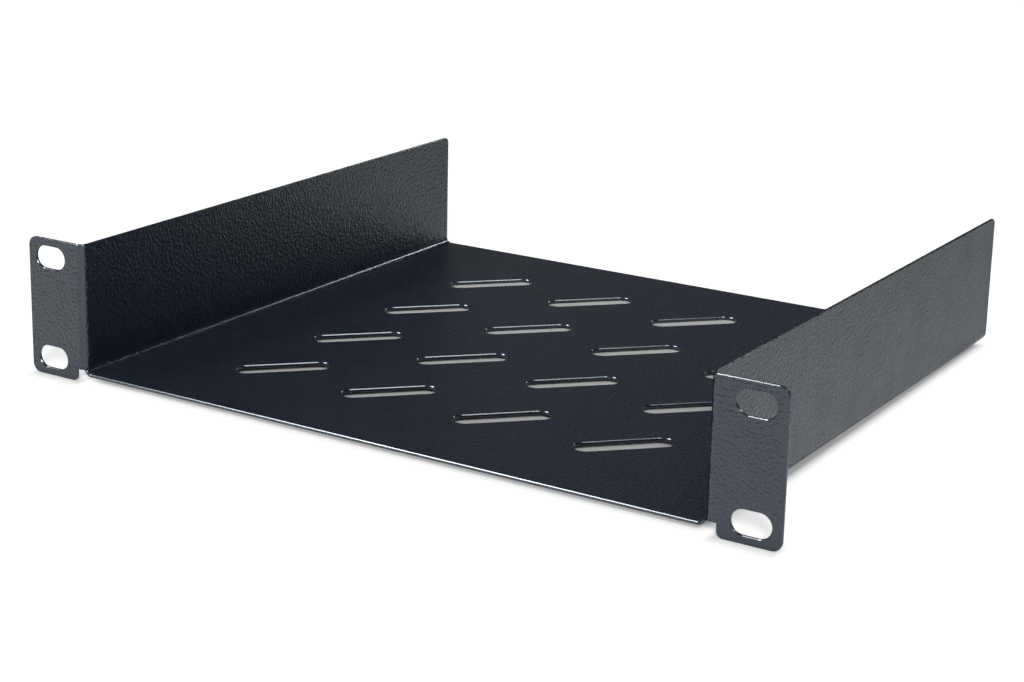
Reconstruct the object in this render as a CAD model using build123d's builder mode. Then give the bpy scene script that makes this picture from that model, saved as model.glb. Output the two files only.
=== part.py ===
from build123d import *
import os
from math import floor

# A rack shelf one unit high for a ten-inch rack, folded from one sheet of steel. The sheet makes a tray,
# a wall up each side of it, and an ear folded outward from the front end of each wall.
# +X points right, +Y from the front to the rear, and +Z up. The origin is the centre of the four ear slots,
# on the ears' back faces, which bear on the rack's rails. Sizes are in millimetres.

# Sheet
sheet = 1.0
tray_bend_radius = 2.0    # inside radius, tray to wall
ear_bend_radius = 1.5     # inside radius, wall to ear
edge_break = 0.2          # small bevel along every cut edge, on both skins

# Overall
panel_width = 254.0       # over both ears
panel_height = 43.5
depth = 200.0             # from the ears' front faces to the rear edge
ear_drop = 2.2            # from the tray's underside down to the ears' lower ends

# Ears, whose slots are 236.5 apart across the rack and 31.75 apart in height, as its rails' holes are
ear_width = 21.0          # from the wall's outer face out to the ear's end
slot_inset_x = 8.75       # from the ear's end in to the middle of its slots
slot_inset_z = 5.875      # from the ear's top and lower end in to the middle of its slots
ear_slot_length = 11.5
ear_slot_width = 7.0
ear_corner_radius = 3.0
wall_corner_radius = 2.0  # rear upper corner of each wall

# Relief notch between the tray's bend and the lower end of each ear
relief_rise = 1.8         # from the tray's underside up to the notch's top
relief_gap = 2.6          # from the wall's outer face out to the ear's lower end
tab_corner_radius = 2.0   # lower corner of the ear beside the notch

# Vent slots in the tray
vent_pitch = 40.0         # both ways
vent_margin = 35.0        # least distance from a vent's centre to the sides, front and rear of the tray
vent_length = 29.5
vent_width = 7.5
vent_angle = 45.0

# Planes and heights that follow from the sizes
front = -sheet
rear = front + depth
top = panel_height / 2
bottom = -panel_height / 2
tray_underside = bottom + ear_drop
tray_top = tray_underside + sheet
relief_top = tray_underside + relief_rise
half_panel = panel_width / 2
half_body = half_panel - ear_width
tab_inner = half_body + relief_gap
slot_spacing_x = panel_width - 2 * slot_inset_x
slot_spacing_z = panel_height - 2 * slot_inset_z


def vent_count(room):
    """How many vents fit along a side of the tray."""
    return floor((room - 2 * vent_margin) / vent_pitch) + 1


def behind_skin(inset):
    """All that lies behind one skin of the right-hand wall and ear, above the relief.

    The inset is how deep that skin lies in the sheet: none for the inside of the wall and the front of
    the ear, and the sheet's thickness for the outside of the wall and the back of the ear.
    """
    wall = half_body - sheet + inset
    tray = tray_top - inset
    with BuildPart() as block:
        with BuildSketch(Plane.XZ.offset(-rear)) as section:
            with BuildLine():
                Polyline(
                    (0, tray),
                    (wall, tray),
                    (wall, top),
                    (half_panel, top),
                    (half_panel, bottom),
                    (0, bottom),
                    close=True,
                )
            make_face()
            tray_corner = section.vertices().sort_by_distance((wall, tray))[0]
            fillet(tray_corner, tray_bend_radius + inset)
            with Locations((0, relief_top)):
                Rectangle(half_panel, top - relief_top, align=(Align.MIN, Align.MIN), mode=Mode.INTERSECT)
        extrude(amount=depth - inset)
        front_edges = block.edges().group_by(Axis.Y)[0]
        fold = front_edges.filter_by(lambda edge: edge.center().X < wall + sheet / 2)
        fillet(fold, ear_bend_radius + sheet - inset)
    return block.part


with BuildPart() as shelf:
    # Walls and ears above the relief, with the bends between them
    add(behind_skin(0))
    add(behind_skin(sheet), mode=Mode.SUBTRACT)
    mirror(about=Plane.YZ)

    # Tray and its bends, up to the relief
    with BuildSketch(Plane.XZ.offset(-rear)):
        with BuildLine():
            outside = FilletPolyline(
                (-half_body, top),
                (-half_body, tray_underside),
                (half_body, tray_underside),
                (half_body, top),
                radius=tray_bend_radius + sheet,
            )
            offset(outside, amount=sheet, side=Side.LEFT)
        make_face()
        with Locations((0, tray_underside)):
            Rectangle(2 * half_body, relief_rise, align=(Align.CENTER, Align.MIN), mode=Mode.INTERSECT)
    extrude(amount=depth)

    # Lower ends of the ears, clear of the tray's bends
    with BuildSketch(Plane.XZ):
        with Locations((tab_inner, bottom)):
            Rectangle(half_panel - tab_inner, relief_top - bottom, align=(Align.MIN, Align.MIN))
        mirror(about=Plane.YZ)
    extrude(amount=sheet)

    # Corners of the ears and walls
    ear_middle = (tab_inner + half_panel) / 2
    lowest = shelf.edges().filter_by(Axis.Y).group_by(Axis.Z)[0]
    fillet(lowest.filter_by(lambda edge: abs(edge.center().X) < ear_middle), tab_corner_radius)
    ear_edges = shelf.edges().filter_by(Axis.Y)
    fillet(ear_edges.filter_by(lambda edge: abs(edge.center().X) > ear_middle), ear_corner_radius)
    wall_corners = shelf.edges().filter_by(Axis.X).group_by(Axis.Y)[-1].group_by(Axis.Z)[-1]
    fillet(wall_corners, wall_corner_radius)

    # Ear slots
    with BuildSketch(Plane.XZ):
        with GridLocations(slot_spacing_x, slot_spacing_z, 2, 2):
            SlotOverall(ear_slot_length, ear_slot_width)
    extrude(amount=sheet, mode=Mode.SUBTRACT)

    # Vents
    with BuildSketch(Plane.XY.offset(tray_underside)):
        with Locations((0, front + depth / 2)):
            with GridLocations(vent_pitch, vent_pitch, vent_count(2 * half_body), vent_count(depth)):
                SlotOverall(vent_length, vent_width, rotation=vent_angle)
    extrude(amount=sheet, mode=Mode.SUBTRACT)

    # Cut edges, broken in every slot and, from the tray's front and rear ends, all round the sheet
    tray_faces = shelf.faces().filter_by(Axis.Z).sort_by(SortBy.AREA)[-2:]
    ear_faces = shelf.faces().filter_by(Axis.Y).sort_by(SortBy.AREA)[-4:]
    cut_edges = ShapeList()
    for face in tray_faces:
        cut_edges += face.outer_wire().edges().filter_by(Axis.X)
    for face in tray_faces + ear_faces:
        for slot in face.inner_wires():
            cut_edges += slot.edges()
    chamfer(cut_edges, edge_break)

shelf.part.label = "shelf"

os.makedirs("parts", exist_ok=True)
export_step(shelf.part, "parts/shelf.step")
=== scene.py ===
import bpy
from math import cos, pi, radians, sin
from mathutils import Matrix, Vector


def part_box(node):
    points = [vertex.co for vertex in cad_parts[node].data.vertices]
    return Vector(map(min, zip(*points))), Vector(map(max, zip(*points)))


# A vented shelf for a ten-inch rack, folded from one steel sheet and powder-coated black, on a white floor.
# Places and sizes are in metres, in the shelf's own frame: +X to the right, +Y to the rear and +Z up.

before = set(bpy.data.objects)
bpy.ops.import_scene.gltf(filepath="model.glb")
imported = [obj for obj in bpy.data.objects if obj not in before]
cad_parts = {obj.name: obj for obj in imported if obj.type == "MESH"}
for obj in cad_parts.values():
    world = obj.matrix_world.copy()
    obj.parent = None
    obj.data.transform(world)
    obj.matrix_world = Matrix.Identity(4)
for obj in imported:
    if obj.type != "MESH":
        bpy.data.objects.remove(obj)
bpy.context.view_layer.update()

WHITE = (1.0, 1.0, 1.0, 1.0)

# Camera
CAMERA_PLACE = (0.3355, -0.4723, 0.1884)
CAMERA_YAW = -33.73             # degrees from +Y towards +X
CAMERA_TILT = 15.18             # degrees below the horizon
CAMERA_ROLL = -0.68             # degrees
CAMERA_LENS = 77.0              # millimetres
SENSOR_WIDTH = 36.0             # millimetres
CAMERA_SHIFT = (0.08, -0.07)
CAMERA_RANGE = (0.01, 100.0)    # the nearest and the farthest that it sees

# Powder coat
COAT_DARK = (0.0016, 0.0042, 0.0115, 1.0)
COAT_LIGHT = (0.0034, 0.0068, 0.0150, 1.0)
COAT_TINT = (0.85, 0.94, 1.0, 1.0)
COAT_IOR = 1.82
COAT_ROUGHNESS = (0.31, 0.38)   # least and most, from patch to patch
BEVEL_ROUGHNESS = 0.22          # on the bevelled edges, where the coat flows smooth
PATCHES = {"size": 0.012, "detail": 3.0, "roughness": 0.6}    # slow change of colour and gloss
PATCH_RANGE = (0.3, 0.7)        # the part of the patches' noise over which the roughness changes
GRAIN = {"size": 0.0009, "detail": 1.0, "roughness": 0.4}     # the leathery bumps
GRAIN_HEIGHT = 0.00044
SMOOTH_EDGE = (0.75, 0.97)      # the normal's largest part where the grain starts, and where it is full

# Floor, which meets the ears' lower ends in front and the tray's lower rear edge behind
FLOOR_SIZE = 12.0
FLOOR_COLOR = (0.97, 0.97, 0.97, 1.0)
FLOOR_GLOW = 0.73               # for the camera, and for the coat's gloss in front of the shelf
GLOW_BEHIND = 0.22              # for the gloss behind the shelf
GLOW_FADES = (-0.10, 0.30)      # the glow for the gloss fades from here in front to there behind
EAR_DROP = 0.0022               # from the tray's underside down to the ears' lower ends
EAR_WIDTH = 0.021               # from the wall's outer face out to the ear's end
EDGE_BREAK = 0.0002             # the sheet's bevelled edges, which the floor meets at their inner lines

# Contact shade on the floor: how light it is inside, how far inside the outline it starts, and its width
TRAY_SHADE = {"lightness": 0.0, "inset": (0.0052, 0.0090), "width": (0.0088, 0.0155)}
EAR_SHADE = {"lightness": 0.35, "inset": (0.0020, 0.0), "width": (0.0040, 0.0105)}
WALL_SHADE = {"lightness": 0.0, "inset": (0.0010, 0.0080), "width": (0.0054, 0.0080)}
WALL_SHADE_START = 0.022        # behind the ears, so that their slots show a light floor

# Lamps, with the light that each gives level surfaces in shares of what makes a colour render as written.
# Only the front lamp lights the floor. The others leave it out, so that they cast no shadows on it.
LAMPS = {
    "front": {"share": 0.28, "angle": 14.0, "source": (0.47, -0.71, 0.53), "lights_floor": True},
    "key": {"share": 0.35, "angle": 14.0, "source": (-0.50, -0.29, 0.80), "lights_floor": False},
    "top": {"share": 0.25, "angle": 16.0, "source": (0.27, -0.08, 0.96), "lights_floor": False},
    "rear": {"share": 0.030, "angle": 6.0, "source": (0.27, 0.82, 0.50), "lights_floor": False},
}

# The dim room round the shelf: lighter on the left than on the right, and lightest in front. Its light goes
# from one result to the other as the direction's share of +X, or of +Y, goes from one limit to the other.
# The coat reflects the room and not the camera's white, as the photographed tray mirrors dark surroundings.
ROOM_LEFT_TO_RIGHT = {"limits": (-0.60, 0.10), "results": (0.135, 0.01)}
ROOM_FRONT_TO_REAR = {"limits": (-0.75, -0.25), "results": (0.45, 0.0)}


def node(tree, kind, place, inputs, **settings):
    """A shader node. Each input, by name or number, gets a value or a link from another node's output."""
    made = tree.nodes.new(kind)
    made.location = place
    for name, value in settings.items():
        setattr(made, name, value)
    for name, value in inputs.items():
        if isinstance(value, bpy.types.NodeSocket):
            tree.links.new(value, made.inputs[name])
        else:
            made.inputs[name].default_value = value
    return made


def reckon(tree, place, operation, first, second):
    """The result of an operation on two numbers."""
    return node(tree, "ShaderNodeMath", place, {0: first, 1: second}, operation=operation).outputs[0]


def fade(tree, place, value, limits, results):
    """Goes from the first result to the second as the value goes from one limit to the other, and stays."""
    inputs = {
        "Value": value,
        "From Min": limits[0],
        "From Max": limits[1],
        "To Min": results[0],
        "To Max": results[1],
    }
    return node(tree, "ShaderNodeMapRange", place, inputs).outputs["Result"]


def noise(tree, place, spot, size, detail, roughness):
    """Noise with bumps or patches of about the given size."""
    inputs = {"Vector": spot, "Scale": 1 / size, "Detail": detail, "Roughness": roughness}
    return node(tree, "ShaderNodeTexNoise", place, inputs).outputs["Fac"]


def new_material(name):
    """An empty node material and its node tree."""
    material = bpy.data.materials.new(name)
    material.use_nodes = True
    material.node_tree.nodes.clear()
    return material, material.node_tree


def flatness(tree):
    """1 on the sheet's flat faces, and 0 on bevels and midway round bends, where the coat flows smooth."""
    normal = node(tree, "ShaderNodeNewGeometry", (-1100, -500), {}).outputs["True Normal"]
    upright = node(tree, "ShaderNodeVectorMath", (-900, -500), {0: normal}, operation="ABSOLUTE")
    parts = node(tree, "ShaderNodeSeparateXYZ", (-740, -500), {0: upright.outputs[0]}).outputs
    larger = reckon(tree, (-580, -450), "MAXIMUM", parts["X"], parts["Y"])
    largest = reckon(tree, (-420, -500), "MAXIMUM", larger, parts["Z"])
    return fade(tree, (-260, -500), largest, SMOOTH_EDGE, (0.0, 1.0))


def powder_coat():
    """Black powder coat with a leathery grain."""
    material, tree = new_material("powder_coat")
    spot = node(tree, "ShaderNodeTexCoord", (-1100, 0), {}).outputs["Object"]
    patches = noise(tree, (-800, 300), spot, **PATCHES)
    grain = noise(tree, (-800, -100), spot, **GRAIN)
    flat = flatness(tree)

    colors = {0: patches, 6: COAT_DARK, 7: COAT_LIGHT}
    color = node(tree, "ShaderNodeMix", (0, 300), colors, data_type="RGBA")
    on_flats = fade(tree, (0, 100), patches, PATCH_RANGE, COAT_ROUGHNESS)
    roughness = node(tree, "ShaderNodeMix", (200, 100), {0: flat, 2: BEVEL_ROUGHNESS, 3: on_flats})
    bumps = {"Height": grain, "Strength": flat, "Distance": GRAIN_HEIGHT}
    bump = node(tree, "ShaderNodeBump", (300, -250), bumps)
    coat = {
        "Base Color": color.outputs[2],
        "Roughness": roughness.outputs[0],
        "IOR": COAT_IOR,
        "Specular Tint": COAT_TINT,
        "Normal": bump.outputs["Normal"],
    }
    shader = node(tree, "ShaderNodeBsdfPrincipled", (600, 0), coat)
    node(tree, "ShaderNodeOutputMaterial", (900, 0), {"Surface": shader.outputs["BSDF"]})
    return material


def shade_round(tree, spot, y, middle, apart, half_size, lightness, inset, width):
    """How light the floor is at a box's foot: its own lightness there, and 1 further off.

    The box stands the distance apart from the middle, on the right and on the left. At 0 it is one box.
    """
    dark_half = (half_size[0] - inset[0], half_size[1] - inset[1], 0)
    steps = [
        ("SUBTRACT", middle),
        ("ABSOLUTE", None),
        ("SUBTRACT", (apart, 0, 0)),
        ("ABSOLUTE", None),
        ("SUBTRACT", dark_half),
        ("MAXIMUM", (0, 0, 0)),
        ("MULTIPLY", (1 / width[0], 1 / width[1], 0)),
        ("LENGTH", None),
    ]
    last = spot
    for count, (operation, value) in enumerate(steps):
        inputs = {0: last} if value is None else {0: last, 1: value}
        step = node(tree, "ShaderNodeVectorMath", (-1500 + 160 * count, y), inputs, operation=operation)
        last = step.outputs["Value" if operation == "LENGTH" else "Vector"]
    nearness = fade(tree, (-200, y), last, (0.0, 1.0), ((1.0 - lightness) ** 0.5, 0.0))
    lost = reckon(tree, (-40, y), "POWER", nearness, 2.0)
    return reckon(tree, (120, y), "SUBTRACT", 1.0, lost)


def contact_shade(tree, spot):
    """How light the floor is round the shelf's foot: the darkest of the tray's, ears' and walls' shades."""
    lowest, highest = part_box("shelf")
    half_panel = highest[0]
    half_body = half_panel - EAR_WIDTH
    half_depth = (highest[1] - lowest[1]) / 2
    middle = (0, lowest[1] + half_depth, 0)
    under_tray = shade_round(tree, spot, 200, middle, 0, (half_body, half_depth), **TRAY_SHADE)
    middle = (0, lowest[1], 0)
    ear_middle = half_panel - EAR_WIDTH / 2
    under_ears = shade_round(tree, spot, -200, middle, ear_middle, (EAR_WIDTH / 2, 0), **EAR_SHADE)
    middle = (0, (WALL_SHADE_START + highest[1]) / 2, 0)
    half_length = (highest[1] - WALL_SHADE_START) / 2
    by_walls = shade_round(tree, spot, -600, middle, 0, (half_body, half_length), **WALL_SHADE)
    darker = reckon(tree, (300, -200), "MINIMUM", under_ears, by_walls)
    return reckon(tree, (300, 0), "MINIMUM", under_tray, darker)


def floor_glow(tree, spot):
    """How strongly the floor glows: all over for the camera, and less behind the shelf for the gloss."""
    sides = node(tree, "ShaderNodeSeparateXYZ", (-200, 500), {0: spot})
    reflected = fade(tree, (0, 500), sides.outputs["Y"], GLOW_FADES, (FLOOR_GLOW, GLOW_BEHIND))
    path = node(tree, "ShaderNodeLightPath", (0, 800), {}).outputs
    for_gloss = reckon(tree, (150, 650), "MULTIPLY", path["Is Glossy Ray"], reflected)
    inputs = {0: path["Is Camera Ray"], 2: for_gloss, 3: FLOOR_GLOW}
    return node(tree, "ShaderNodeMix", (300, 500), inputs).outputs[0]


def white_floor():
    """White floor. It also glows for the camera and the gloss, except in the shade at the shelf's foot."""
    material, tree = new_material("white_floor")
    spot = node(tree, "ShaderNodeTexCoord", (-1700, 0), {}).outputs["Object"]
    inputs = {"Color": contact_shade(tree, spot), "Strength": floor_glow(tree, spot)}
    glow = node(tree, "ShaderNodeEmission", (700, 100), inputs)
    paint = node(tree, "ShaderNodeBsdfDiffuse", (700, -100), {"Color": FLOOR_COLOR})
    both = node(tree, "ShaderNodeAddShader", (900, 0), {0: glow.outputs[0], 1: paint.outputs[0]})
    node(tree, "ShaderNodeOutputMaterial", (1100, 0), {"Surface": both.outputs[0]})
    return material


def dress_shelf():
    """Gives the folded sheet its coat."""
    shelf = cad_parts["shelf"]
    coat = powder_coat()
    for material_slot in shelf.material_slots:
        material_slot.material = coat


def lay_floor():
    """A large floor under the shelf. It slopes up a little to the rear, as the ears reach below the tray."""
    lowest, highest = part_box("shelf")
    front = lowest[1] + EDGE_BREAK
    rear = highest[1] - EDGE_BREAK
    slope = EAR_DROP / (rear - front)
    half = FLOOR_SIZE / 2
    corners = []
    for x, y in ((-half, -half), (half, -half), (half, half), (-half, half)):
        corners.append((x, y, lowest[2] + (y - front) * slope))
    mesh = bpy.data.meshes.new("floor")
    mesh.from_pydata(corners, [], [(0, 1, 2, 3)])
    mesh.materials.append(white_floor())
    floor = bpy.data.objects.new("floor", mesh)
    bpy.context.scene.collection.objects.link(floor)
    return floor


def leave_unlit(floor):
    """A light linking collection for the lamps that leave the floor out."""
    unlit = bpy.data.collections.new("unlit")
    unlit.objects.link(floor)
    unlit.collection_objects[0].light_linking.link_state = "EXCLUDE"
    return unlit


def hang_lamp(name, share, angle, source, lights_floor, unlit):
    """A soft lamp far off, as wide as the angle in degrees. It lights all, or leaves the unlit floor out."""
    direction = Vector(source).normalized()
    lamp = bpy.data.lights.new(name, "SUN")
    lamp.energy = share * pi / direction.z
    lamp.angle = radians(angle)
    holder = bpy.data.objects.new(name, lamp)
    holder.rotation_euler = direction.to_track_quat("Z", "Y").to_euler()
    bpy.context.scene.collection.objects.link(holder)
    if not lights_floor:
        holder.light_linking.receiver_collection = unlit


def surroundings():
    """White behind the shelf for the camera, and the dim room for all else."""
    world = bpy.data.worlds.new("surroundings")
    world.use_nodes = True
    tree = world.node_tree
    tree.nodes.clear()
    direction = node(tree, "ShaderNodeTexCoord", (-1000, -200), {}).outputs["Generated"]
    sides = node(tree, "ShaderNodeSeparateXYZ", (-800, -200), {0: direction}).outputs
    left_to_right = fade(tree, (-550, -100), sides["X"], **ROOM_LEFT_TO_RIGHT)
    front_to_rear = fade(tree, (-550, -400), sides["Y"], **ROOM_FRONT_TO_REAR)
    brighter = reckon(tree, (-300, -200), "MAXIMUM", left_to_right, front_to_rear)
    room = node(tree, "ShaderNodeBackground", (-100, -100), {"Color": WHITE, "Strength": brighter})
    white = node(tree, "ShaderNodeBackground", (-100, 100), {"Color": WHITE, "Strength": 1.0})
    path = node(tree, "ShaderNodeLightPath", (-400, 200), {})
    inputs = {0: path.outputs["Is Camera Ray"], 1: room.outputs[0], 2: white.outputs[0]}
    either = node(tree, "ShaderNodeMixShader", (200, 0), inputs)
    node(tree, "ShaderNodeOutputWorld", (450, 0), {"Surface": either.outputs[0]})
    bpy.context.scene.world = world


def place_camera():
    """The photograph's view."""
    yaw, tilt, roll = radians(CAMERA_YAW), radians(CAMERA_TILT), radians(CAMERA_ROLL)
    forward = Vector((sin(yaw) * cos(tilt), cos(yaw) * cos(tilt), -sin(tilt)))
    level_right = Vector((cos(yaw), -sin(yaw), 0.0))
    level_down = forward.cross(level_right)
    right = cos(roll) * level_right + sin(roll) * level_down
    down = cos(roll) * level_down - sin(roll) * level_right
    data = bpy.data.cameras.new("camera")
    data.lens = CAMERA_LENS
    data.sensor_width = SENSOR_WIDTH
    data.shift_x, data.shift_y = CAMERA_SHIFT
    data.clip_start, data.clip_end = CAMERA_RANGE
    camera = bpy.data.objects.new("camera", data)
    axes = Matrix((right, -down, -forward)).transposed()
    camera.matrix_world = Matrix.Translation(CAMERA_PLACE) @ axes.to_4x4()
    bpy.context.scene.collection.objects.link(camera)
    bpy.context.scene.camera = camera


dress_shelf()
unlit = leave_unlit(lay_floor())
for lamp_name, lamp in LAMPS.items():
    hang_lamp(lamp_name, **lamp, unlit=unlit)
surroundings()
place_camera()
bpy.context.scene.view_settings.view_transform = "Standard"
